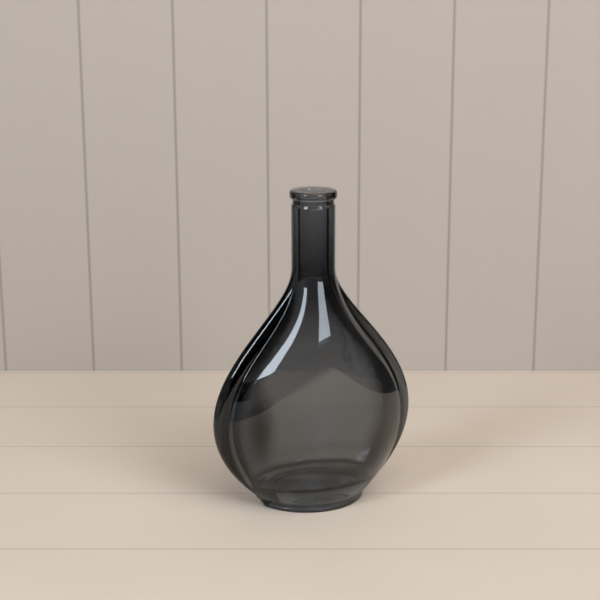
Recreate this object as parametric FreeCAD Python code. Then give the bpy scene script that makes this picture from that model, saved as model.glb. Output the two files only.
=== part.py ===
import FreeCAD, Part
import math
import os

os.makedirs("parts", exist_ok=True)

# A flattened, teardrop-bodied bud vase in one run of glass, parted where its
# mould and its tools shaped it: a fire-polished lip, a groove, a straight neck,
# two lens-shaped panels, a strap down each side, a thick base and a low foot.
# Z is up from the table, X is the wide way and the front panel faces -Y.

# Driving dimensions, millimetres: neck and lip
neck_diameter = 24.3
neck_length = 34.9
neck_shoulder_rounding = 1.2
bore_diameter = 15.0
groove_height = 2.7
groove_depth = 0.65
lip_height = 4.4
lip_overhang = 0.95
lip_rounding = 1.4
mouth_rounding = 1.0

# Body, and the straps that stand out beyond its panels
body_height = 138.0
body_width = 119.6
widest_height = 51.3
panel_widest_height = 47.6
panel_bulge = 28.5
bulge_height = 52.0
strap_stand = 6.4
strap_half_thickness = 5.0
strap_neck_half_thickness = 4.0
strap_foot_stand = 1.3
strap_root = 0.5
wall = 3.2
side_wall = 3.6
floor_height = 13.0
floor_corner_rise = 5.0

# Foot and underside
foot_length = 61.4
foot_depth = 44.4
foot_height = 5.0
foot_ring_width = 5.6
foot_rounding = 0.8
heel_step = 0.3
heel_step_front = 0.6
underside_height = 1.2
push_up_rise = 3.6
push_up_end_margin = 5.6
push_up_side_margin = 4.0

# Lugs: the straps' blunt lower ends
lug_stand = 1.5
lug_depth = 5.6
lug_half_width = 4.4
lug_top = 6.4
lug_clearance = 1.8
lug_rounding = 1.9

# Raised marks round the push-up
stipple_count = 36
stipple_radius = 0.45
stipple_height = 0.35
stipple_margin = 1.3

# How full each outline is: the reach of its curve's handles, as a share of the rise
shoulder_fullness = 0.43
neck_sweep = 0.26
panel_shoulder_fullness = 0.43
panel_neck_sweep = 0.37
hip_fullness = 0.47
heel_fullness = 0.30
heel_lean = 53.5
bulge_foot_lean = 22.0
bulge_fullness = 0.40
bulge_shoulder_fullness = 0.70
bulge_neck_sweep = 0.20

# Shapes of the sections
section_count = 19
strap_roundness = 0.9
cavity_corner = 0.92
cavity_floor_share = 0.86
plan_end_share = 0.28
cubic_middle = 0.75
near = 0.01

neck_radius = neck_diameter / 2
bore_radius = bore_diameter / 2
lip_radius = neck_radius + lip_overhang
groove_radius = neck_radius - groove_depth
neck_top = body_height + neck_length
groove_top = neck_top + groove_height
vase_height = groove_top + lip_height

strap_reach = body_width / 2
panel_reach = strap_reach - strap_stand
panel_foot_reach = foot_length / 2 + heel_step
strap_foot_reach = panel_foot_reach + strap_foot_stand
panel_foot_bulge = foot_depth / 2 + heel_step_front
lug_reach = foot_length / 2 + lug_stand
opening_length = foot_length - 2 * foot_ring_width
opening_depth = foot_depth - 2 * foot_ring_width
push_up_length = opening_length - 2 * push_up_end_margin
push_up_depth = opening_depth - 2 * push_up_side_margin


def bezier_at(poles, height):
    """Distance from the middle, at a height, of a cubic curve that only rises."""
    low, high = 0.0, 1.0
    for _ in range(50):
        t = (low + high) / 2
        weights = ((1 - t) ** 3, 3 * (1 - t) ** 2 * t, 3 * (1 - t) * t ** 2, t ** 3)
        z = sum(w * p[1] for w, p in zip(weights, poles))
        if z < height:
            low = t
        else:
            high = t
    return sum(w * p[0] for w, p in zip(weights, poles))


def outline(foot, widest, top, lean, heel, hip, shoulder, sweep):
    """Outline from the foot, out to its widest and in to the neck, as x for a z."""
    fall = widest[1] - foot[1]
    rise = top[1] - widest[1]
    turn = math.radians(lean)
    lower = [
        foot,
        (foot[0] + heel * fall * math.sin(turn), foot[1] + heel * fall * math.cos(turn)),
        (widest[0], widest[1] - hip * fall),
        widest,
    ]
    upper = [
        widest,
        (widest[0], widest[1] + shoulder * rise),
        (top[0], top[1] - sweep * rise),
        top,
    ]
    return lambda z: bezier_at(lower if z < widest[1] else upper, z)


crease_neck_x = math.sqrt(neck_radius ** 2 - strap_neck_half_thickness ** 2)
strap_x = outline(
    (strap_foot_reach, foot_height), (strap_reach, widest_height),
    (neck_radius, body_height), heel_lean, heel_fullness, hip_fullness,
    shoulder_fullness, neck_sweep)
crease_x = outline(
    (panel_foot_reach, foot_height), (panel_reach, panel_widest_height),
    (crease_neck_x, body_height), heel_lean, heel_fullness, hip_fullness,
    panel_shoulder_fullness, panel_neck_sweep)
bulge_y = outline(
    (panel_foot_bulge, foot_height), (panel_bulge, bulge_height),
    (neck_radius, body_height), bulge_foot_lean, bulge_fullness, bulge_fullness,
    bulge_shoulder_fullness, bulge_neck_sweep)


def smooth(t):
    t = min(max(t, 0.0), 1.0)
    return t * t * (3 - 2 * t)


def body_share(z):
    """0 at the neck, where the section is a circle, and 1 down in the body."""
    return smooth((body_height - z) / (body_height - widest_height) * 2)


def crease_y(z):
    change = strap_half_thickness - strap_neck_half_thickness
    return strap_neck_half_thickness + change * body_share(z)


def point(x, y, z=0.0):
    return FreeCAD.Vector(x, y, z)


def bezier_edge(*poles):
    curve = Part.BezierCurve()
    curve.setPoles(list(poles))
    return curve.toShape()


def panel_arc(z):
    """Radius and centre offset of the panel's arc through both creases and its crown."""
    half, crown = crease_x(z), bulge_y(z) - crease_y(z)
    radius = (half ** 2 + crown ** 2) / (2 * crown)
    return radius, radius - bulge_y(z)


def closed_section(arc_end, arc_crown, cap_handle, z):
    """Two arcs, front and back, joined at each side by a rounded cap."""
    x, y = arc_end
    cap_x, cap_y = cap_handle
    front = Part.Arc(point(-x, -y, z), point(0, -arc_crown, z), point(x, -y, z)).toShape()
    right = bezier_edge(point(x, -y, z), point(cap_x, -cap_y, z),
                        point(cap_x, cap_y, z), point(x, y, z))
    back = Part.Arc(point(x, y, z), point(0, arc_crown, z), point(-x, y, z)).toShape()
    left = bezier_edge(point(-x, y, z), point(-cap_x, cap_y, z),
                       point(-cap_x, -cap_y, z), point(-x, -y, z))
    return Part.Wire([front, right, back, left])


def outer_section(z):
    x, y = crease_x(z), crease_y(z)
    # a quarter of a circle's handle at the neck, a full rounded tongue on the body
    neck_handle = 4 / 3 * math.tan(math.asin(strap_neck_half_thickness / neck_radius) / 2)
    neck_cap = 1 - neck_handle * crease_neck_x / strap_neck_half_thickness
    roundness = neck_cap + (strap_roundness - neck_cap) * body_share(z)
    handle = x + (strap_x(z) - x) / cubic_middle
    return closed_section((x, y), bulge_y(z), (handle, roundness * y), z)


def cavity_section(z, share=1.0):
    """Inside of the glass: the panel's arcs moved in by the wall, with smooth ends."""
    down = body_share(z)
    neck_wall = neck_radius - bore_radius
    neck_gap = crease_neck_x - bore_radius
    arc_radius, offset = panel_arc(z)
    radius = (arc_radius - neck_wall - (wall - neck_wall) * down) * share
    offset *= share
    tip = (crease_x(z) - neck_gap - (side_wall - neck_gap) * down) * share
    x = cavity_corner * tip
    y = math.sqrt(radius ** 2 - x ** 2) - offset
    reach = (tip - x) / cubic_middle
    slope = x / math.sqrt(radius ** 2 - x ** 2)
    return closed_section((x, y), radius - offset, (x + reach, y - reach * slope), z)


def levels(low, high, count):
    return [low + (high - low) * i / (count - 1) for i in range(count)]


def ring(profile):
    """Full turn of an (r, z) outline about the vase's axis."""
    return Part.Face(profile).revolve(point(0, 0, 0), point(0, 0, 1), 360)


def polygon(*corners):
    pts = [point(r, 0, z) for r, z in corners]
    return Part.makePolygon(pts + pts[:1])


def rounded_lens(length, depth, low, high):
    """Upright block whose plan is a lens with rounded ends."""
    half, crown = length / 2, depth / 2
    end = plan_end_share * crown
    radius = ((half - end) ** 2 + (crown - end) ** 2) / (2 * (crown - end))
    tilt = math.asin((half - end) / radius)
    x = (half - end) + end * math.sin(tilt)
    y = end * math.cos(tilt)
    radius += end
    front = Part.Arc(point(-x, -y, low), point(0, -crown, low), point(x, -y, low)).toShape()
    right = Part.Arc(point(x, -y, low), point(half, 0, low), point(x, y, low)).toShape()
    back = Part.Arc(point(x, y, low), point(0, crown, low), point(-x, y, low)).toShape()
    left = Part.Arc(point(-x, y, low), point(-half, 0, low), point(-x, -y, low)).toShape()
    plan = Part.Face(Part.Wire([front, right, back, left]))
    return plan.extrude(point(0, 0, high - low))


def box(low, high):
    size = high - low
    return Part.makeBox(size.x, size.y, size.z, low)


def strap_zone(side):
    """Everything beyond one crease: the room that a side strap takes."""
    beyond = side * body_width
    heights = levels(foot_height, body_height, section_count)
    root = [point(side * (crease_x(z) - strap_root), -body_width, z) for z in heights]
    curve = Part.BSplineCurve()
    curve.interpolate(root)
    top, bottom = root[-1], root[0]
    far_top = point(beyond, top.y, top.z)
    far_bottom = point(beyond, top.y, bottom.z)
    edges = [curve.toShape(), Part.makeLine(top, far_top),
             Part.makeLine(far_top, far_bottom), Part.makeLine(far_bottom, bottom)]
    return Part.Face(Part.Wire(edges)).extrude(point(0, 2 * body_width, 0))


def lug(side):
    """Blunt end of a strap, reaching down past the foot to just above the table."""
    outer = side * lug_reach
    inner = outer - side * (lug_stand + lug_depth)
    block = box(point(min(inner, outer), -lug_half_width, lug_clearance),
                point(max(inner, outer), lug_half_width, lug_top))
    ends = [e for e in block.Edges if abs(e.CenterOfMass.x - outer) < near]
    bottom = [e for e in ends if abs(e.CenterOfMass.z - lug_clearance) < near]
    uprights = [e for e in ends if abs(abs(e.CenterOfMass.y) - lug_half_width) < near]
    return block.makeFillet(lug_rounding, bottom + uprights)


def edges_at(shape, radius, height):
    circles = [e for e in shape.Edges if isinstance(e.Curve, Part.Circle)]
    return [e for e in circles
            if abs(e.Curve.Radius - radius) < near and abs(e.Curve.Center.z - height) < near]


def save(name, shape):
    solids = shape.Solids
    shape = solids[0] if len(solids) == 1 else Part.makeCompound(solids)
    shape.exportStep("parts/" + name + ".step")
    print(name, "solids", len(solids), "valid", shape.isValid(), "volume", round(shape.Volume, 1))


# Lip: a fire-polished bead, rounded outside and at the mouth
lip = ring(polygon((bore_radius, groove_top), (lip_radius, groove_top),
                   (lip_radius, vase_height), (bore_radius, vase_height)))
lip = lip.makeFillet(lip_rounding, edges_at(lip, lip_radius, vase_height)
                     + edges_at(lip, lip_radius, groove_top))
lip = lip.makeFillet(mouth_rounding, edges_at(lip, bore_radius, vase_height))
save("lip_ring", lip)

# Groove: the waist under the lip, which a tie or a wire sits in
save("neck_groove", ring(polygon((bore_radius, neck_top), (groove_radius, neck_top),
                                 (groove_radius, groove_top), (bore_radius, groove_top))))

# Neck: straight, with a rounded shoulder below the groove
neck = ring(polygon((bore_radius, body_height), (neck_radius, body_height),
                    (neck_radius, neck_top), (bore_radius, neck_top)))
neck = neck.makeFillet(neck_shoulder_rounding, edges_at(neck, neck_radius, neck_top))
save("neck_tube", neck)

# Body: the whole outside, less the whole inside, parted at the creases and at the floor
outside_heights = levels(foot_height, body_height, section_count)
outside = Part.makeLoft([outer_section(z) for z in outside_heights], True)
floor_corner = floor_height + floor_corner_rise
inside_heights = levels(floor_corner, body_height, section_count)
inside = Part.makeLoft([cavity_section(floor_height, cavity_floor_share)]
                       + [cavity_section(z) for z in inside_heights], True)
glass = outside.cut(inside)

foot_block = rounded_lens(foot_length, foot_depth, 0, foot_height)
zones = {"left": strap_zone(-1), "right": strap_zone(1)}
core = glass.cut(zones["left"]).cut(zones["right"])
for name, side in (("left", -1), ("right", 1)):
    strap = glass.common(zones[name])
    end = lug(side).cut(foot_block).cut(outside.cut(zones[name]))
    save(name + "_side_strap", strap.fuse(end).removeSplitter())

far = body_width
front_half = box(point(-far, -far, floor_height), point(far, 0, body_height))
back_half = box(point(-far, 0, floor_height), point(far, far, body_height))
save("front_panel", core.common(front_half))
save("back_panel", core.common(back_half))

# Base: thick glass under the floor, with a shallow push-up in its underside
base = core.common(box(point(-far, -far, foot_height), point(far, far, floor_height)))
plug = rounded_lens(opening_length, opening_depth, underside_height, foot_height)
dome_size = FreeCAD.Matrix()
dome_size.scale(push_up_length / 2, push_up_depth / 2, push_up_rise)
dome = Part.makeSphere(1).transformGeometry(dome_size)
dome.translate(point(0, 0, underside_height))
save("base_slab", base.fuse(plug).removeSplitter().cut(dome))

# Foot: a low ring that the vase stands on, rounded at the table
foot = foot_block.cut(rounded_lens(opening_length, opening_depth, 0, foot_height))
table_edges = [e for e in foot.Edges if e.BoundBox.ZMax < near]
save("foot_ring", foot.makeFillet(foot_rounding, table_edges))

# Stipples: a ring of small raised marks round the push-up
stipples = []
for i in range(stipple_count):
    turn = 2 * math.pi * i / stipple_count
    mark = point((push_up_length / 2 + stipple_margin) * math.cos(turn),
                 (push_up_depth / 2 + stipple_margin) * math.sin(turn), underside_height)
    stipples.append(Part.makeCone(stipple_radius, stipple_radius / 2, stipple_height,
                                  mark, point(0, 0, -1)))
save("base_stipples", Part.makeCompound(stipples))
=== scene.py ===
import math

import bmesh
import bpy
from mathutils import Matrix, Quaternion, Vector, noise


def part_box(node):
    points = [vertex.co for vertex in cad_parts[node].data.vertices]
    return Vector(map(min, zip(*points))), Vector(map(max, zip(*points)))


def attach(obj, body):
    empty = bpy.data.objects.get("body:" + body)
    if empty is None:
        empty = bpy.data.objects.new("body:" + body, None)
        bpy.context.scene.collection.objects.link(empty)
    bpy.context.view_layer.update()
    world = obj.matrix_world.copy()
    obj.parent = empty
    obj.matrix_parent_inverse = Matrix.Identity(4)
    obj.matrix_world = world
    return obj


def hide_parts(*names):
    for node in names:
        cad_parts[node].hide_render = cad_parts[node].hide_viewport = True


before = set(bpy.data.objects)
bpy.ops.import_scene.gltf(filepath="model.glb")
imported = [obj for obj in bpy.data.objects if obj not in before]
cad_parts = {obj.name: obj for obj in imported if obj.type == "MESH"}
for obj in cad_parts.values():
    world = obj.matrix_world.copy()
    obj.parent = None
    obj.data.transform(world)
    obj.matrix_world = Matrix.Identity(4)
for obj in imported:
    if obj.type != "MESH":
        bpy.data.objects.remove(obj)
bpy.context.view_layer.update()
scene = bpy.context.scene
mm = 0.001


def sizeOf(node):
    # lowest and highest corner of a CAD node, in millimetres
    low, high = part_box(node)
    return Vector(low) / mm, Vector(high) / mm


class Wire:
    # a node's output, so shader maths can be written as plain sums
    def __init__(self, tree, socket):
        self.tree = tree
        self.socket = socket

    def __add__(self, other):
        return self.tree.maths("ADD", self, other)

    def __sub__(self, other):
        return self.tree.maths("SUBTRACT", self, other)

    def __rsub__(self, other):
        return self.tree.maths("SUBTRACT", other, self)

    def __mul__(self, other):
        return self.tree.maths("MULTIPLY", self, other)

    __radd__ = __add__
    __rmul__ = __mul__


class Shader:
    # an empty node tree, and one way to add any node to it
    def __init__(self, owner):
        owner.use_nodes = True
        self.nodes = owner.node_tree.nodes
        self.links = owner.node_tree.links
        self.nodes.clear()

    def add(self, kind, settings=None, inputs=None, output=0):
        node = self.nodes.new(kind)
        for name, value in (settings or {}).items():
            if name == "stops":
                node.color_ramp.interpolation = "EASE"
                self.setStops(node.color_ramp, value)
            else:
                setattr(node, name, value)
        for name, value in (inputs or {}).items():
            if isinstance(value, Wire):
                self.links.new(value.socket, node.inputs[name])
            else:
                node.inputs[name].default_value = value
        return Wire(self, node.outputs[output]) if node.outputs else node

    def maths(self, operation, first, second):
        return self.add("ShaderNodeMath", {"operation": operation}, {0: first, 1: second})

    def setStops(self, ramp, stops):
        while len(ramp.elements) < len(stops):
            ramp.elements.new(1.0)
        for element, (place, colour) in zip(ramp.elements, stops):
            element.position = place
            element.color = (*colour, 1)


# the vase's own sizes are in millimetres
outlines = {
    "floorHeight": 13.0,
    "widestHeight": 51.3,
    "panelWidestHeight": 47.6,
    "bulgeHeight": 52.0,
    "strapStand": 6.4,
    "strapFootStand": 1.3,
    "heelStep": 0.3,
    "heelStepFront": 0.6,
    "strapHalfThickness": 5.0,
    "strapNeckHalfThickness": 4.0,
    "strapRoundness": 0.9,
    "shoulderFullness": 0.43,
    "neckSweep": 0.26,
    "panelShoulderFullness": 0.43,
    "panelNeckSweep": 0.37,
    "hipFullness": 0.47,
    "heelFullness": 0.30,
    "heelLean": 53.5,
    "bulgeFootLean": 22.0,
    "bulgeFullness": 0.40,
    "bulgeShoulder": 0.70,
    "bulgeNeckSweep": 0.20,
    "creaseRounding": 1.1,
    "creaseMostShare": 0.2,
    "handleReach": 0.75,
}

lipLow, lipHigh = sizeOf("lip_ring")
grooveLow, grooveHigh = sizeOf("neck_groove")
neckLow, neckHigh = sizeOf("neck_tube")
panelLow = sizeOf("front_panel")[0]
strapHigh = sizeOf("right_side_strap")[1]
footHigh = sizeOf("foot_ring")[1]

neckRadius = neckHigh.x
neckBottom = neckLow.z
strapReach = strapHigh.x
panelReach = strapReach - outlines["strapStand"]
footReach = footHigh.x
footDepth = footHigh.y
footTop = footHigh.z
panelBulge = -panelLow.y


def cubicWeights(t):
    return (1 - t) ** 3, 3 * (1 - t) ** 2 * t, 3 * (1 - t) * t ** 2, t ** 3


def cubic(poles, t):
    weights = cubicWeights(t)
    return Vector((sum(w * p[0] for w, p in zip(weights, poles)),
                   sum(w * p[1] for w, p in zip(weights, poles))))


def riseAlong(poles, height, halvings=40):
    # distance from the middle, at a height, of a cubic curve that only rises
    low, high = 0.0, 1.0
    for _ in range(halvings):
        t = (low + high) / 2
        if sum(w * p[1] for w, p in zip(cubicWeights(t), poles)) < height:
            low = t
        else:
            high = t
    return sum(w * p[0] for w, p in zip(cubicWeights(t), poles))


def outline(foot, widest, top, lean, heel, hip, shoulder, sweep):
    # from the foot out to the widest point, and in again to the neck
    fall = widest[1] - foot[1]
    rise = top[1] - widest[1]
    turn = math.radians(lean)
    lean = (foot[0] + heel * fall * math.sin(turn), foot[1] + heel * fall * math.cos(turn))
    lower = [foot, lean, (widest[0], widest[1] - hip * fall), widest]
    upper = [widest, (widest[0], widest[1] + shoulder * rise), (top[0], top[1] - sweep * rise), top]
    return lambda z: riseAlong(lower if z < widest[1] else upper, z)


creaseNeckX = math.sqrt(neckRadius ** 2 - outlines["strapNeckHalfThickness"] ** 2)
panelFoot = footReach + outlines["heelStep"]
strapX = outline(
    (panelFoot + outlines["strapFootStand"], footTop), (strapReach, outlines["widestHeight"]),
    (neckRadius, neckBottom), outlines["heelLean"], outlines["heelFullness"],
    outlines["hipFullness"], outlines["shoulderFullness"], outlines["neckSweep"])
creaseX = outline(
    (panelFoot, footTop), (panelReach, outlines["panelWidestHeight"]),
    (creaseNeckX, neckBottom), outlines["heelLean"], outlines["heelFullness"],
    outlines["hipFullness"], outlines["panelShoulderFullness"], outlines["panelNeckSweep"])
bulgeY = outline(
    (footDepth + outlines["heelStepFront"], footTop), (panelBulge, outlines["bulgeHeight"]),
    (neckRadius, neckBottom), outlines["bulgeFootLean"], outlines["bulgeFullness"],
    outlines["bulgeFullness"], outlines["bulgeShoulder"], outlines["bulgeNeckSweep"])


def smooth(t):
    t = min(max(t, 0.0), 1.0)
    return t * t * (3 - 2 * t)


def bodyShare(z):
    # 0 at the neck, where the section is a circle, and 1 from halfway down to the widest height
    return smooth((neckBottom - z) / (neckBottom - outlines["widestHeight"]) * 2)


def creaseY(z):
    neck = outlines["strapNeckHalfThickness"]
    return neck + (outlines["strapHalfThickness"] - neck) * bodyShare(z)


# a section is a quarter of it, from the middle of the front to the side
mesh = {
    "arcSteps": 44,
    "creaseSteps": 5,
    "capSteps": 11,
    "bodyRings": 100,
    "wallRings": 84,
    "floorRings": 9,
    "floorCrowding": 0.8,
    "footStepRings": 6,
    "pushUpRings": 12,
    "roundSteps": 5,
    "mergeWithin": 1e-7,
}
sideSteps = mesh["creaseSteps"] + mesh["capSteps"]
quarterSteps = mesh["arcSteps"] + sideSteps
ringSteps = 4 * quarterSteps


def arcPoints(radius, offset, half, count):
    # along the front's arc from its middle towards the side, without its last point
    return [Vector((radius * math.sin(half * i / count), offset - radius * math.cos(half * i / count)))
            for i in range(count)]


def panelArc(z):
    half, crown = creaseX(z), bulgeY(z) - creaseY(z)
    radius = (half ** 2 + crown ** 2) / (2 * crown)
    return radius, radius - bulgeY(z)


def bodySection(z):
    x, y = creaseX(z), creaseY(z)
    radius, offset = panelArc(z)
    neckHandle = 4 / 3 * math.tan(math.asin(outlines["strapNeckHalfThickness"] / neckRadius) / 2)
    neckCap = 1 - neckHandle * creaseNeckX / outlines["strapNeckHalfThickness"]
    roundness = neckCap + (outlines["strapRoundness"] - neckCap) * bodyShare(z)
    handle = x + (strapX(z) - x) / outlines["handleReach"]
    cap = [(x, -y), (handle, -roundness * y), (handle, roundness * y), (x, y)]
    trim = outlines["creaseRounding"]
    half = math.asin(x / radius) - trim / radius
    points = arcPoints(radius, offset, half, mesh["arcSteps"])
    start = Vector((radius * math.sin(half), offset - radius * math.cos(half)))
    firstShare = trim / (3 * (Vector(cap[1]) - Vector(cap[0])).length)
    firstShare = min(firstShare, outlines["creaseMostShare"])
    finish = cubic(cap, firstShare)
    corner = Vector((x, -y))
    for i in range(mesh["creaseSteps"]):
        t = i / mesh["creaseSteps"]
        points.append(start * (1 - t) ** 2 + corner * 2 * t * (1 - t) + finish * t * t)
    for i in range(mesh["capSteps"] + 1):
        points.append(cubic(cap, firstShare + (0.5 - firstShare) * i / mesh["capSteps"]))
    return points


neckAngles = [math.atan2(p.y, p.x) for p in bodySection(neckBottom)]


def roundSection(radius):
    return [Vector((radius * math.cos(a), radius * math.sin(a))) for a in neckAngles]


cavity = {
    "boreRadius": 7.5,
    "wall": 3.2,
    "sideWall": 3.6,
    "corner": 0.92,
    "floorShare": 0.86,
    "floorCornerRise": 5.0,
}


def cavitySection(z, share=1.0):
    down = bodyShare(z)
    neckWall = neckRadius - cavity["boreRadius"]
    neckGap = creaseNeckX - cavity["boreRadius"]
    arcRadius, offset = panelArc(z)
    radius = (arcRadius - neckWall - (cavity["wall"] - neckWall) * down) * share
    offset *= share
    tip = (creaseX(z) - neckGap - (cavity["sideWall"] - neckGap) * down) * share
    x = cavity["corner"] * tip
    y = math.sqrt(radius ** 2 - x ** 2) - offset
    reach = (tip - x) / outlines["handleReach"]
    slope = x / math.sqrt(radius ** 2 - x ** 2)
    cap = [(x, -y), (x + reach, -y + reach * slope), (x + reach, y - reach * slope), (x, y)]
    points = arcPoints(radius, offset, math.asin(x / radius), mesh["arcSteps"])
    for i in range(sideSteps + 1):
        points.append(cubic(cap, 0.5 * i / sideSteps))
    return points


def lensSection(reach, crown):
    # a lens with rounded ends
    end = foot["endRoundness"] * crown
    radius = ((reach - end) ** 2 + (crown - end) ** 2) / (2 * (crown - end))
    tilt = math.asin((reach - end) / radius)
    radius += end
    points = arcPoints(radius, radius - crown, tilt, mesh["arcSteps"])
    for i in range(sideSteps + 1):
        turn = tilt + (math.pi / 2 - tilt) * i / sideSteps
        points.append(Vector((reach - end + end * math.sin(turn), -end * math.cos(turn))))
    return points


def ovalSection(reach, crown, share):
    lens = lensSection(reach, crown)
    turns = [math.atan2(p.y / crown, p.x / reach) for p in lens]
    return [Vector((reach * share * math.cos(a), crown * share * math.sin(a))) for a in turns]


def between(first, second, share):
    return [a.lerp(b, share) for a, b in zip(first, second)]


def roundedPath(corners, steps):
    # a polyline with each inner corner turned into an arc; corners are (across, up, rounding)
    path = []
    for i, (x, z, rounding) in enumerate(corners):
        here = Vector((x, z))
        if rounding == 0:
            path.append(here)
            continue
        before = (Vector(corners[i - 1][:2]) - here).normalized()
        after = (Vector(corners[i + 1][:2]) - here).normalized()
        opening = before.angle(after)
        back = rounding / math.tan(opening / 2)
        centre = here + (before + after).normalized() * (rounding / math.sin(opening / 2))
        first = here + before * back - centre
        last = here + after * back - centre
        sweep = first.angle(last)
        for s in range(steps + 1):
            t = s / steps
            spoke = (first * math.sin(sweep * (1 - t)) + last * math.sin(sweep * t)) / math.sin(sweep)
            path.append(centre + spoke)
    return path


# the glass is one run of rings, from the middle of the floor up the inside, over the lip, down the
# outside and under the foot to the middle of the underside;
# a ring is (points, height, painted shade, coated), and the painted shade darkens the glass's colour
# there
lip = {
    "mouthRounding": 1.0,
    "rounding": 1.25,
    "underRounding": 1.1,
    "grooveRounding": 0.3,
    "shoulderRounding": 0.8,
    "shoulderDrop": 1.3,
    "neckSteps": (6, 12, 18, 24, 30),
}
foot = {
    "ringWidth": 5.6,
    "rounding": 0.8,
    "undersideHeight": 1.2,
    "pushUpRise": 3.6,
    "pushUpEndMargin": 5.6,
    "pushUpSideMargin": 4.0,
    "stepRise": 0.9,
    "endRoundness": 0.28,
    "wallSteps": (3.4, 2.8, 2.2, 1.8, 1.5, 1.2, 0.9),
    "innerRounding": 0.35,
    "innerLead": 3,
    "lugDepth": 0.9,
}
lug = {
    "stand": 1.5,
    "halfWidth": 4.4,
    "low": 1.8,
    "rounding": 1.4,
    "lowShare": 0.3,
    "sideFrom": 0.6,
    "sideSpread": 0.3,
    "darkFrom": 0.2,
    "darkSpread": 0.8,
}
# painted shade, 0 to 1: the glass's colour darkened beside the creases, in the floor's corner, round the
# push-up, on the foot's top and on the lugs; a spread called Steps counts points along a section
pool = {
    "from": 8.0,
    "fadeIn": 6,
    "to": 142.0,
    "fadeOut": 20,
    "panelSteps": 5.5,
    "strapSteps": 3.4,
    "inside": 1.0,
    "insideSteps": 11.0,
    "floor": 1.0,
    "floorAt": 4.0,
    "floorSpread": 2.2,
    "pushUp": 1.0,
    "pushUpAt": 1,
    "pushUpSpread": 1.3,
    "footTop": 0.5,
    "lug": 1.0,
}

pushUpReach = footReach - foot["ringWidth"] - foot["pushUpEndMargin"]
pushUpCrown = footDepth - foot["ringWidth"] - foot["pushUpSideMargin"]


def levels(low, high, count):
    return [low + (high - low) * i / count for i in range(count + 1)]


def floorRings():
    height = outlines["floorHeight"]
    full = cavitySection(height + cavity["floorCornerRise"])
    low = cavitySection(height, cavity["floorShare"])
    rings = []
    for i in range(1, mesh["floorRings"] + 1):
        share = (i / mesh["floorRings"]) ** mesh["floorCrowding"]
        rings.append(([p * share for p in low], height, 0.0, 0.0))
    for i in range(1, mesh["floorRings"] + 1):
        turn = math.pi / 2 * i / mesh["floorRings"]
        rise = 1 - math.cos(turn)
        # painted shade in the corner where the floor meets the inside wall
        depth = pool["floor"] * math.exp(-((i - pool["floorAt"]) / pool["floorSpread"]) ** 2)
        z = height + cavity["floorCornerRise"] * rise
        rings.append((between(low, full, math.sin(turn)), z, depth, 0.0))
    return rings


blown = {
    "scale": 17.0,
    "depth": 0.16,
    "fineScale": 2.3,
    "fineShare": 0.4,
    "fade": 12,
    "leastRadius": 6,
}


def wobble(x, y, z):
    # the slow unevenness of blown glass, on the inside only
    spot = Vector((x, y, z)) / blown["scale"]
    fine = blown["fineShare"] * noise.noise(spot * blown["fineScale"])
    return blown["depth"] * (noise.noise(spot) + fine)


def uneven(points, z):
    # each point moved in or out a little, and less and less towards the ends
    ease = smooth((z - outlines["floorHeight"]) / blown["fade"]) * smooth((lipLow.z - z) / blown["fade"])
    return [p * (1 + ease * wobble(p.x, p.y, z) / max(p.length, blown["leastRadius"])) for p in points]


def insideRings():
    low = outlines["floorHeight"] + cavity["floorCornerRise"]
    heights = levels(low, neckBottom, mesh["wallRings"])[1:]
    return [(uneven(cavitySection(z), z), z, 0.0, 0.0) for z in heights]


def neckRings():
    bore = cavity["boreRadius"]
    grooveRadius = grooveHigh.x
    corners = [(bore, neckBottom + h, 0) for h in lip["neckSteps"]]
    corners += [
        (bore, lipHigh.z, lip["mouthRounding"]),
        (lipHigh.x, lipHigh.z, lip["rounding"]),
        (lipHigh.x, lipLow.z, lip["underRounding"]),
        (grooveRadius, lipLow.z, lip["grooveRounding"]),
        (grooveRadius, grooveLow.z, lip["grooveRounding"]),
        (neckRadius, grooveLow.z - lip["shoulderDrop"], lip["shoulderRounding"]),
    ]
    corners += [(neckRadius, neckBottom + h, 0) for h in reversed(lip["neckSteps"])]
    return [(roundSection(p.x), p.y, 0.0, smooth((p.x - bore) / (grooveRadius - bore)))
            for p in roundedPath(corners, mesh["roundSteps"])]


def outsideRings():
    heights = levels(footTop + foot["stepRise"], neckBottom, mesh["bodyRings"])
    return [(bodySection(z), z, 0.0, 1.0) for z in reversed(heights)]


def withLug(points, z):
    # the strap's blunt end, standing out beyond the foot
    up = smooth((z - lug["low"] + lug["rounding"] * lug["lowShare"]) / lug["rounding"])
    moved = []
    for p in points:
        across = 1 - smooth((abs(p.y) - lug["halfWidth"] + lug["rounding"]) / lug["rounding"])
        beside = smooth((p.x - lug["sideFrom"] * footReach) / (lug["sideSpread"] * footReach))
        moved.append(Vector((p.x + lug["stand"] * up * across * beside, p.y)))
    return moved


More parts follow.
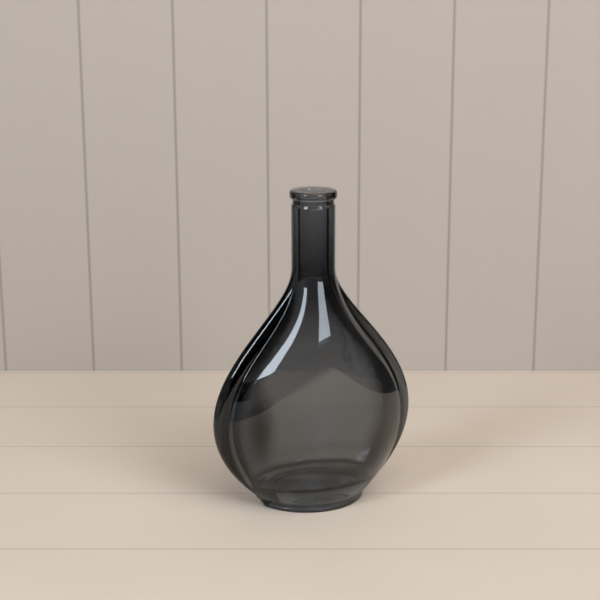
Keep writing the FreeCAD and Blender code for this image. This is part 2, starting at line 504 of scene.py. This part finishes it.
def footRings():
    wall = lensSection(footReach, footDepth)
    rings = []
    top = footTop + foot["stepRise"]
    count = mesh["footStepRings"]
    for i in range(1, count + 1):
        z = top - 2 * foot["stepRise"] * i / count
        shape = between(bodySection(max(z, footTop)), wall, smooth(i / count))
        # the foot's top gets painted shade
        rings.append((withLug(shape, z), z, pool["footTop"], 1.0))
    width = foot["ringWidth"]
    corners = [(0, z, 0) for z in foot["wallSteps"]]
    corners += [
        (0, 0, foot["rounding"]),
        (width, 0, foot["rounding"]),
        (width, foot["undersideHeight"], foot["innerRounding"]),
        (width + foot["innerLead"], foot["undersideHeight"], 0),
    ]
    for p in roundedPath(corners, mesh["roundSteps"]):
        shape = lensSection(footReach - p.x, footDepth - p.x)
        if p.x < foot["lugDepth"]:
            shape = withLug(shape, p.y)
        rings.append((shape, p.y, 0.0, 1.0))
    for i in range(mesh["pushUpRings"]):
        turn = math.pi / 2 * i / mesh["pushUpRings"]
        z = foot["undersideHeight"] + foot["pushUpRise"] * math.sin(turn)
        # painted shade round the edge of the push-up
        depth = pool["pushUp"] * math.exp(-((i - pool["pushUpAt"]) / pool["pushUpSpread"]) ** 2)
        rings.append((ovalSection(pushUpReach, pushUpCrown, math.cos(turn)), z, depth, 1.0))
    return rings


def ringPlace(points, step):
    # a quarter's points, mirrored to the whole ring
    quarter, along = divmod(step, quarterSteps)
    if quarter % 2 == 0:
        p = points[along]
    else:
        p = points[quarterSteps - along]
    sideways = 1 if quarter in (0, 1) else -1
    front = 1 if quarter in (0, 3) else -1
    return p.x * sideways, p.y * front


def paintedShadeAt(step, z, coated):
    # painted shade beside the crease, 0 to 1
    quarter, along = divmod(step, quarterSteps)
    if quarter % 2:
        along = quarterSteps - along
    past = along - mesh["arcSteps"] - mesh["creaseSteps"] / 2
    spread = pool["panelSteps"] if past < 0 else pool["strapSteps"]
    low, high = pool["from"], pool["to"]
    upright = smooth((z - low) / pool["fadeIn"]) * smooth((high - z) / pool["fadeOut"])
    if coated > 0.5:
        return math.exp(-(past / spread) ** 2) * upright
    return pool["inside"] * smooth((past + pool["insideSteps"]) / pool["insideSteps"]) * upright


def lugPaintedShade(x, z, coated):
    # the same painted shade on the lugs
    if coated < 0.5 or z > footTop:
        return 0.0
    return pool["lug"] * smooth((abs(x) - footReach - lug["darkFrom"]) / lug["darkSpread"])


def nextRing(bm, edges, points, z, paintedShading, coated):
    # pull the ring of edges on to a new height and set its points on the section there
    made = bmesh.ops.extrude_edge_only(bm, edges=edges)["geom"]
    steps = bm.verts.layers.int["step"]
    # this layer holds the painted shade, which darkens the glass's colour
    depth = bm.verts.layers.float["pool"]
    coat = bm.verts.layers.float["coated"]
    for v in made:
        if isinstance(v, bmesh.types.BMVert):
            x, y = ringPlace(points, v[steps])
            v.co = (x * mm, y * mm, z * mm)
            v[depth] = max(paintedShading, paintedShadeAt(v[steps], z, coated), lugPaintedShade(x, z, coated))
            v[coat] = coated
    return [e for e in made if isinstance(e, bmesh.types.BMEdge)]


def makeObject(name, bm, material):
    shape = bpy.data.meshes.new(name)
    bm.to_mesh(shape)
    bm.free()
    shape.polygons.foreach_set("use_smooth", [True] * len(shape.polygons))
    shape.materials.append(material)
    piece = bpy.data.objects.new(name, shape)
    scene.collection.objects.link(piece)
    return piece


def makeVase(material):
    rings = floorRings() + insideRings() + neckRings() + outsideRings() + footRings()
    bm = bmesh.new()
    bm.verts.layers.float.new("pool")
    bm.verts.layers.float.new("coated")
    steps = bm.verts.layers.int.new("step")
    made = bmesh.ops.create_circle(bm, cap_ends=True, cap_tris=True, radius=mm, segments=ringSteps)
    points, z = rings[0][:2]
    rim = [v for v in made["verts"] if v.co.length > 0.5 * mm]
    middle = [v for v in made["verts"] if v.co.length <= 0.5 * mm]
    for i, v in enumerate(rim):
        v[steps] = i
        x, y = ringPlace(points, i)
        v.co = (x * mm, y * mm, z * mm)
    for v in middle:
        v.co = (0, 0, z * mm)
    edges = [e for e in bm.edges if e.is_boundary]
    for points, z, paintedShading, coated in rings[1:]:
        edges = nextRing(bm, edges, points, z, paintedShading, coated)
    top = foot["undersideHeight"] + foot["pushUpRise"]
    edges = nextRing(bm, edges, [Vector((0, 0))] * (quarterSteps + 1), top, 0.0, 1.0)
    bmesh.ops.remove_doubles(bm, verts=bm.verts, dist=mesh["mergeWithin"])
    bmesh.ops.recalc_face_normals(bm, faces=bm.faces)
    print("vase rings", len(rings), "faces", len(bm.faces))
    return makeObject("vase_glass", bm, material)


stipple = {
    "count": 36,
    "radius": 0.45,
    "height": 0.35,
    "margin": 1.3,
    "segments": 12,
    "rings": 8,
}


def makeStipples(material):
    # small raised marks round the push-up
    reach = pushUpReach + stipple["margin"]
    crown = pushUpCrown + stipple["margin"]
    bm = bmesh.new()
    for i in range(stipple["count"]):
        turn = 2 * math.pi * i / stipple["count"]
        made = bmesh.ops.create_uvsphere(bm, u_segments=stipple["segments"], v_segments=stipple["rings"],
                                         radius=stipple["radius"] * mm)
        bmesh.ops.scale(bm, verts=made["verts"], vec=(1, 1, stipple["height"] / stipple["radius"]))
        bmesh.ops.translate(bm, verts=made["verts"], vec=(
            reach * math.cos(turn) * mm, crown * math.sin(turn) * mm, foot["undersideHeight"] * mm))
    bmesh.ops.recalc_face_normals(bm, faces=bm.faces)
    print("stipple marks", stipple["count"])
    return makeObject("stipple_marks", bm, material)


smoke = {
    # how much light the sprayed coat lets through, by height in millimetres
    "coat": [(0, 0.85), (9, 0.82), (14, 0.36), (22, 0.23), (35, 0.185), (52, 0.20), (72, 0.245),
             (97, 0.18), (111, 0.10), (124, 0.052), (136, 0.058), (148, 0.098), (160, 0.155),
             (170, 0.20), (175, 0.20), (180, 0.36)],
    # where the painted shade is full, the colour keeps this share of its light
    "paintedShading": 0.02,
    # a soft dark patch low on the left of the front, in metres
    "patch": {"at": (-0.038, -0.015, 0.052), "reach": (0.011, 0.016, 0.034), "share": 0.03},
    "coatColour": (0.90, 0.98, 1.09),
    "bulkColour": (0.12, 0.17, 0.17, 1),
    "bulkDensity": 42.0,
    "refraction": 1.5,
}


def smokeGlass():
    material = bpy.data.materials.new("smoke_glass")
    tree = Shader(material)
    place = tree.add("ShaderNodeTexCoord", None, None, "Object")
    height = tree.add("ShaderNodeSeparateXYZ", None, {0: place}, "Z") * (1 / (lipHigh.z * mm))
    shades = [(z / lipHigh.z, [min(light * c, 1) for c in smoke["coatColour"]])
              for z, light in smoke["coat"]]
    coat = tree.add("ShaderNodeValToRGB", {"stops": shades}, {0: height})
    # painted shade from the mesh, darkening the colour towards the creases and hollows
    pool = tree.add("ShaderNodeAttribute", {"attribute_name": "pool"}, None, "Fac")
    paintedShadeAndPatch = 1 - pool * (1 - smoke["paintedShading"])
    patch = smoke["patch"]
    away = tree.add("ShaderNodeVectorMath", {"operation": "SUBTRACT"}, {0: place, 1: patch["at"]})
    away = tree.add("ShaderNodeVectorMath", {"operation": "DIVIDE"}, {0: away, 1: patch["reach"]})
    away = tree.add("ShaderNodeVectorMath", {"operation": "LENGTH"}, {0: away}, "Value")
    paintedShadeAndPatch = paintedShadeAndPatch * tree.add("ShaderNodeMapRange", {"interpolation_type": "SMOOTHSTEP"}, {
        "Value": away, "From Min": 0.0, "From Max": 1.0, "To Min": patch["share"], "To Max": 1.0})
    # the outside's tint and the inside's clear colour are both darkened by the painted shade and by the
    # patch
    coat = tree.add("ShaderNodeVectorMath", {"operation": "SCALE"}, {0: coat, "Scale": paintedShadeAndPatch})
    clear = tree.add("ShaderNodeVectorMath", {"operation": "SCALE"}, {0: (1, 1, 1), "Scale": paintedShadeAndPatch})
    coated = tree.add("ShaderNodeAttribute", {"attribute_name": "coated"}, None, "Fac")
    coat = tree.add("ShaderNodeMix", {"data_type": "RGBA"}, {0: coated, 6: clear, 7: coat}, 2)
    shader = tree.add("ShaderNodeBsdfPrincipled", None, {
        "Base Color": coat, "Roughness": 0.0, "IOR": smoke["refraction"],
        "Transmission Weight": 1.0})
    volume = tree.add("ShaderNodeVolumeAbsorption", None, {
        "Color": smoke["bulkColour"], "Density": smoke["bulkDensity"]})
    tree.add("ShaderNodeOutputMaterial", None, {"Surface": shader, "Volume": volume})
    return material


glass = smokeGlass()
vase = makeVase(glass)
stipples = makeStipples(glass)
others = [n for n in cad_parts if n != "base_stipples"]
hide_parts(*others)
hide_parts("base_stipples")
for piece in (vase, stipples):
    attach(piece, "root")
print("glass pieces stand in for", len(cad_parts), "nodes")

# from here on sizes are in metres, and angles in degrees
framing = {
    "azimuth": -22.45,
    "elevation": 16.11,
    "distance": 0.8327,
    "aim": (0, 0, 0.090),
    "lens": 88.9,
    "shift": (-0.0222, 0.081),
    "sensor": 36,
    "clip": (0.01, 50),
    "wallBehind": 0.2518,
}
turn = math.radians(framing["azimuth"])
rise = math.radians(framing["elevation"])
back = Vector((math.sin(turn) * math.cos(rise), -math.cos(turn) * math.cos(rise), math.sin(rise)))
aim = Vector(framing["aim"])

lens = bpy.data.cameras.new("camera")
lens.lens = framing["lens"]
lens.sensor_width = framing["sensor"]
lens.shift_x, lens.shift_y = framing["shift"]
lens.clip_start, lens.clip_end = framing["clip"]
camera = bpy.data.objects.new("camera", lens)
camera.location = aim + back * framing["distance"]
camera.rotation_mode = "QUATERNION"
camera.rotation_quaternion = (-back).to_track_quat("-Z", "Y")
scene.collection.objects.link(camera)
scene.camera = camera
print("camera set")

ahead = Vector((-math.sin(turn), math.cos(turn), 0))
aside = Vector((math.cos(turn), math.sin(turn), 0))

boardFinish = {
    "roughness": 0.6,
    "gloss": 0.3,
    "grainDetail": 5.0,
}


def boardMaterial(name, colour, boards):
    # painted boards, with a thin dark line where two meet
    material = bpy.data.materials.new(name)
    tree = Shader(material)
    place = tree.add("ShaderNodeTexCoord", None, None, "Object")
    across = tree.add("ShaderNodeVectorMath", {"operation": "DOT_PRODUCT"},
                      {0: place, 1: boards["across"]}, "Value")
    spot = tree.add("ShaderNodeVectorMath", {"operation": "MULTIPLY"}, {0: place, 1: boards["grain"]})
    grain = tree.add("ShaderNodeTexNoise", {}, {
        "Vector": spot, "Scale": 1.0, "Detail": boardFinish["grainDetail"]})
    wander = (grain - 0.5) * boards["wander"]
    share = (across + wander + (-boards["first"])) * (1 / boards["width"])
    apart = tree.maths("PINGPONG", share, 0.5) * boards["width"]
    seam = tree.add("ShaderNodeMapRange", {"interpolation_type": "SMOOTHSTEP"}, {
        "Value": apart, "From Min": 0.0, "From Max": boards["seam"],
        "To Min": boards["dark"], "To Max": 1.0})
    tone = (grain - 0.5) * boards["mottle"] + 1.0
    shade = tree.add("ShaderNodeVectorMath", {"operation": "SCALE"},
                     {0: colour, "Scale": seam * tone})
    shader = tree.add("ShaderNodeBsdfPrincipled", None, {
        "Base Color": shade, "Roughness": boardFinish["roughness"],
        "Specular IOR Level": boardFinish["gloss"]})
    tree.add("ShaderNodeOutputMaterial", None, {"Surface": shader})
    return material


def makeSheet(name, corners, material):
    bm = bmesh.new()
    bmesh.ops.create_grid(bm, x_segments=1, y_segments=1, size=1)
    for v, corner in zip(bm.verts, corners):
        v.co = corner
    bmesh.ops.recalc_face_normals(bm, faces=bm.faces)
    piece = makeObject(name, bm, material)
    return piece


stage = {
    "floorReach": 3.0,
    "wallHeight": 2.2,
    "wallHalf": 0.30,
    "tableHalf": 0.32,
    "floorColour": (0.64, 0.545, 0.45),
    "floorBoards": {"across": ahead, "grain": (9, 9, 9), "first": 0.0075, "width": 0.080,
                    "seam": 0.0016, "dark": 0.80, "wander": 0.001, "mottle": 0.12},
    "wallColour": (0.43, 0.375, 0.325),
    "wallBoards": {"across": aside, "grain": (3, 3, 1), "first": -0.0324, "width": 0.0652,
                   "seam": 0.0017, "dark": 0.66, "wander": 0.0006, "mottle": 0.10},
}
paleWall = boardMaterial("pale_wall", stage["wallColour"], stage["wallBoards"])
paleFloor = boardMaterial("pale_floor", stage["floorColour"], stage["floorBoards"])


def standing(name, left, right, seenByGlass):
    # a stretch of the wall behind the vase, from left to right along it
    start = ahead * framing["wallBehind"]
    up = Vector((0, 0, stage["wallHeight"]))
    low, high = start + aside * left, start + aside * right
    piece = makeSheet(name, [low, high, low + up, high + up], paleWall)
    piece.visible_glossy = seenByGlass
    piece.visible_transmission = seenByGlass


def lying(name, corners, seenByGlass):
    # a stretch of the floor; corners are (aside, ahead), front pair first, left before right
    piece = makeSheet(name, [aside * x + ahead * y for x, y in corners], paleFloor)
    piece.visible_glossy = seenByGlass
    piece.visible_transmission = seenByGlass


# the glass sees a table that runs far out to the front and its right, and not far to the sides
reach, half = stage["floorReach"], stage["wallHalf"]
table, rear = stage["tableHalf"], framing["wallBehind"]
middle = ((table + reach) / 2, (rear - reach) / 2)
lying("floor", [(-table, -reach), (reach, -reach), (-table, rear), (table, rear)], True)
lying("floor_left", [(-reach, -reach), (-table, -reach), (-reach, rear), (-table, rear)], False)
lying("floor_right", [middle, (reach, -reach), (table, rear), (reach, rear)], False)
standing("backdrop", -half, half, True)
standing("backdrop_left", -reach, -half, False)
standing("backdrop_right", half, reach, False)
print("table and wall laid")

# the dark room that the neck mirrors, above the table's far reach; nothing else sees it
screen = {
    "radius": 0.2,
    "low": 0.088,
    "high": 0.143,
    "steps": 48,
    "openBehind": -0.02,
    "colour": (0.03, 0.032, 0.036, 1),
}
bm = bmesh.new()
bmesh.ops.create_cone(bm, cap_ends=False, segments=screen["steps"], radius1=screen["radius"],
                      radius2=screen["radius"], depth=screen["high"] - screen["low"])
bmesh.ops.translate(bm, verts=bm.verts, vec=(0, 0, (screen["high"] + screen["low"]) / 2))
behind = [f for f in bm.faces if f.calc_center_median().dot(ahead) > screen["openBehind"]]
bmesh.ops.delete(bm, geom=behind, context="FACES")
dark = bpy.data.materials.new("dark_room")
tree = Shader(dark)
shader = tree.add("ShaderNodeBsdfPrincipled", None, {
    "Base Color": screen["colour"], "Roughness": 1.0, "Specular IOR Level": 0.0})
tree.add("ShaderNodeOutputMaterial", None, {"Surface": shader})
shield = makeObject("dark_room", bm, dark)
shield.visible_camera = False
shield.visible_diffuse = False
shield.visible_transmission = False
shield.visible_volume_scatter = False
shield.visible_shadow = False
print("dark screen set")

# a dim room, lighter on the left
room = {
    "colour": (0.95, 0.97, 1.0, 1),
    "dim": 0.05,
    "light": 0.45,
    "lightFrom": 0.82,
    "lightTo": 0.94,
}
world = bpy.data.worlds.new("studio")
scene.world = world
tree = Shader(world)
way = tree.add("ShaderNodeTexCoord", None, None, "Generated")
toSide = tree.add("ShaderNodeVectorMath", {"operation": "DOT_PRODUCT"}, {0: way, 1: (-1, 0, 0)}, "Value")
glow = tree.add("ShaderNodeMapRange", {"interpolation_type": "SMOOTHSTEP"}, {
    "Value": toSide, "From Min": room["lightFrom"], "From Max": room["lightTo"],
    "To Min": room["dim"], "To Max": room["light"]})
sky = tree.add("ShaderNodeBackground", None, {"Color": room["colour"], "Strength": glow})
tree.add("ShaderNodeOutputWorld", None, {"Surface": sky})


def around(azimuth, elevation, distance):
    # a place as seen from the vase's middle: 0 is straight ahead of the front panel
    turn, rise = math.radians(azimuth), math.radians(elevation)
    flat = distance * math.cos(rise)
    return Vector((flat * math.sin(turn), -flat * math.cos(turn), aim.z + distance * math.sin(rise)))


def areaLight(name, lamp):
    light = bpy.data.lights.new(name, "AREA")
    light.shape = "RECTANGLE"
    light.size, light.size_y = lamp["size"]
    light.energy = lamp["watts"]
    light.color = lamp["colour"]
    holder = bpy.data.objects.new(name, light)
    holder.location = lamp["place"]
    holder.rotation_mode = "QUATERNION"
    facing = (lamp["target"] - lamp["place"]).to_track_quat("-Z", "Y")
    holder.rotation_quaternion = facing @ Quaternion((0, 0, 1), math.radians(lamp["lean"]))
    scene.collection.objects.link(holder)
    return holder


lamps = {
    "window_left": {"place": around(-66, 32, 1.6), "target": aim, "size": (0.40, 0.8), "watts": 12,
                    "colour": (0.80, 0.89, 1.0), "lean": 10},
    "window_right": {"place": around(12, 26, 1.6), "target": aim, "size": (0.76, 0.75), "watts": 15,
                     "colour": (0.80, 0.89, 1.0), "lean": 0},
    "overhead": {"place": Vector((0.3, -1.3, 1.9)), "target": Vector((0, 0.1, 0)), "size": (2.2, 2.2),
                 "watts": 36, "colour": (1.0, 0.95, 0.90), "lean": 0},
}
lights = {name: areaLight(name, lamp) for name, lamp in lamps.items()}
lights["overhead"].visible_glossy = False
lights["overhead"].visible_transmission = False
scene.view_settings.view_transform = "Standard"
print("lights set")

print("scene ready")
